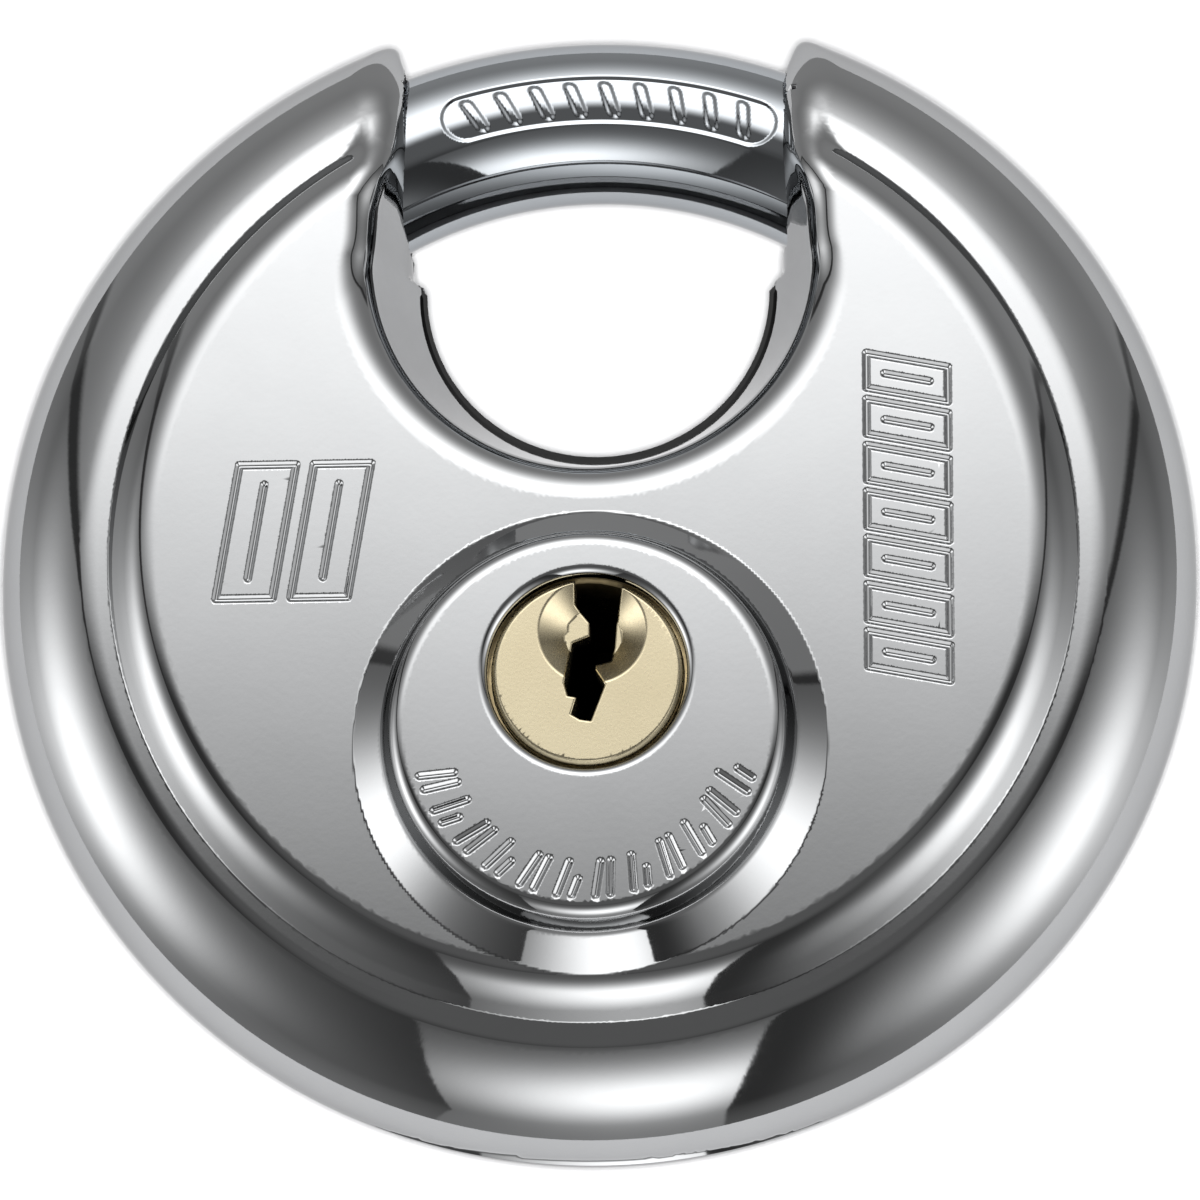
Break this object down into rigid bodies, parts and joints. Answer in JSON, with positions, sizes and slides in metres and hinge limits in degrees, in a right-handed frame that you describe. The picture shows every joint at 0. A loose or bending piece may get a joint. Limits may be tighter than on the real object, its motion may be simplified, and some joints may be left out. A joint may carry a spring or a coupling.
{
  "type": "disc padlock",
  "caption": "Round disc padlock with a shrouded rotating shackle, two pressed steel shells and a keyed pin tumbler cylinder in a raised boss.",
  "frame": {"origin": "on the shackle's turning axis, in the plane of the flat rear face", "axes": "+Z out of the front face with the keyhole, +Y towards the shackle and the notch, +X to the right seen from the front"},
  "size_m": [0.07, 0.0682, 0.0233],
  "materials": {
    "polished_steel": "mirror-polished stainless steel",
    "plated_bar": "bright chrome plate on hardened steel",
    "plain_steel": "plain ground steel",
    "hard_steel": "hardened steel, dark",
    "zinc_steel": "zinc-plated steel",
    "brass": "satin brass",
    "cylinder_brass": "machined brass",
    "pin_brass": "turned brass",
    "die_cast": "as-cast zinc alloy, matt grey",
    "spring_wire": "drawn spring wire"
  },
  "bodies": {
    "body": {"front_shell": "polished_steel", "rear_shell": "polished_steel", "lock_frame": "die_cast", "frame_studs": "plain_steel", "frame_nuts": "zinc_steel", "wear_plate": "plain_steel", "stop_pins": "hard_steel", "cylinder_body": "cylinder_brass", "cylinder_screws": "zinc_steel", "chamber_cover": "brass", "drill_plate": "hard_steel", "thrust_washer": "plain_steel", "pin_spring_1": "spring_wire", "pin_spring_2": "spring_wire", "pin_spring_3": "spring_wire", "pin_spring_4": "spring_wire", "pin_spring_5": "spring_wire"},
    "shackle": {"shackle": "plated_bar", "shackle_arm": "plain_steel", "arm_block": "plain_steel", "arm_rivets": "plain_steel"},
    "plug": {"plug": "brass", "drive_cam": "plain_steel", "drive_pin": "hard_steel", "cam_screws": "zinc_steel"},
    "key_pin_1": {"key_pin_1": "pin_brass"},
    "driver_pin_1": {"driver_pin_1": "plain_steel"},
    "key_pin_2": {"key_pin_2": "pin_brass"},
    "driver_pin_2": {"driver_pin_2": "plain_steel"},
    "key_pin_3": {"key_pin_3": "pin_brass"},
    "driver_pin_3": {"driver_pin_3": "plain_steel"},
    "key_pin_4": {"key_pin_4": "pin_brass"},
    "driver_pin_4": {"driver_pin_4": "plain_steel"},
    "key_pin_5": {"key_pin_5": "pin_brass"},
    "driver_pin_5": {"driver_pin_5": "plain_steel"}
  },
  "joints": [
    {"name": "shackle_turn", "type": "hinge", "parent": "body", "child": "shackle", "pos_m": [0, 0, 0.0105], "axis": [0, 0, -1], "range_deg": [0, 72]},
    {"name": "plug_turn", "type": "hinge", "parent": "body", "child": "plug", "pos_m": [0, -0.0088, 0.0105], "axis": [0, 0, -1], "range_deg": [0, 180]},
    {"name": "key_pin_1_slide", "type": "slide", "parent": "plug", "child": "key_pin_1", "axis": [0, 1, 0], "range_m": [0, 0.00203]},
    {"name": "key_pin_2_slide", "type": "slide", "parent": "plug", "child": "key_pin_2", "axis": [0, 1, 0], "range_m": [0, 0.00123]},
    {"name": "key_pin_3_slide", "type": "slide", "parent": "plug", "child": "key_pin_3", "axis": [0, 1, 0], "range_m": [0, 0.00163]},
    {"name": "key_pin_4_slide", "type": "slide", "parent": "plug", "child": "key_pin_4", "axis": [0, 1, 0], "range_m": [0, 0.00083]},
    {"name": "key_pin_5_slide", "type": "slide", "parent": "plug", "child": "key_pin_5", "axis": [0, 1, 0], "range_m": [0, 0.00223]},
    {"name": "driver_pin_1_slide", "type": "slide", "parent": "body", "child": "driver_pin_1", "axis": [0, -1, 0], "range_m": [0, 0.0012], "stiffness_N_per_m": 60, "springref_m": -0.0015, "deforming": ["pin_spring_1"]},
    {"name": "driver_pin_2_slide", "type": "slide", "parent": "body", "child": "driver_pin_2", "axis": [0, -1, 0], "range_m": [0, 0.0012], "stiffness_N_per_m": 60, "springref_m": -0.0015, "deforming": ["pin_spring_2"]},
    {"name": "driver_pin_3_slide", "type": "slide", "parent": "body", "child": "driver_pin_3", "axis": [0, -1, 0], "range_m": [0, 0.0012], "stiffness_N_per_m": 60, "springref_m": -0.0015, "deforming": ["pin_spring_3"]},
    {"name": "driver_pin_4_slide", "type": "slide", "parent": "body", "child": "driver_pin_4", "axis": [0, -1, 0], "range_m": [0, 0.0012], "stiffness_N_per_m": 60, "springref_m": -0.0015, "deforming": ["pin_spring_4"]},
    {"name": "driver_pin_5_slide", "type": "slide", "parent": "body", "child": "driver_pin_5", "axis": [0, -1, 0], "range_m": [0, 0.0012], "stiffness_N_per_m": 60, "springref_m": -0.0015, "deforming": ["pin_spring_5"]}
  ],
  "couplings": [
    {"joint": "plug_turn", "follows": "shackle_turn", "ratio": 2.5}
  ]
}
